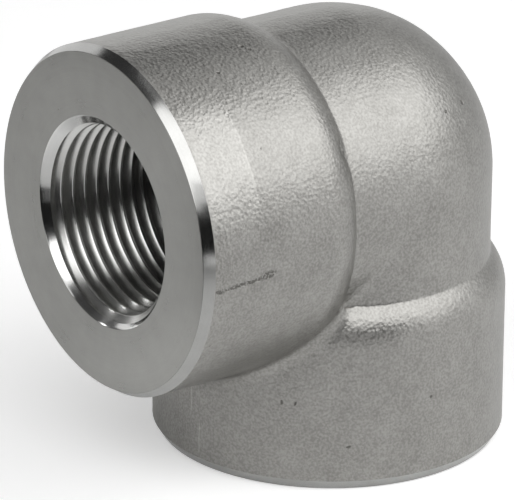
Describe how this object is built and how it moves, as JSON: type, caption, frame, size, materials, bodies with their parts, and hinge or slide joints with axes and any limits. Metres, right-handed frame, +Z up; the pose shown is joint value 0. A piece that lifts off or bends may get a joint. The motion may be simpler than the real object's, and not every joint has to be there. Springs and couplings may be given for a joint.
{
  "type": "threaded elbow",
  "caption": "Forged right-angle pipe elbow with a thick banded end round each internally threaded port and a ball-shaped corner.",
  "frame": {"origin": "centre of the lower port's end face, on that port's axis, with the part standing on that face", "axes": "+Z up the lower port's axis, -Y along the upper port's axis and out of its mouth, X across the elbow's plane of symmetry"},
  "size_m": [0.056, 0.072, 0.072],
  "materials": {
    "forged_stainless": "pickled and blasted forging skin, with turned end faces, chamfers and cut threads"
  },
  "bodies": {
    "root": {"elbow_body": "forged_stainless"}
  },
  "joints": []
}
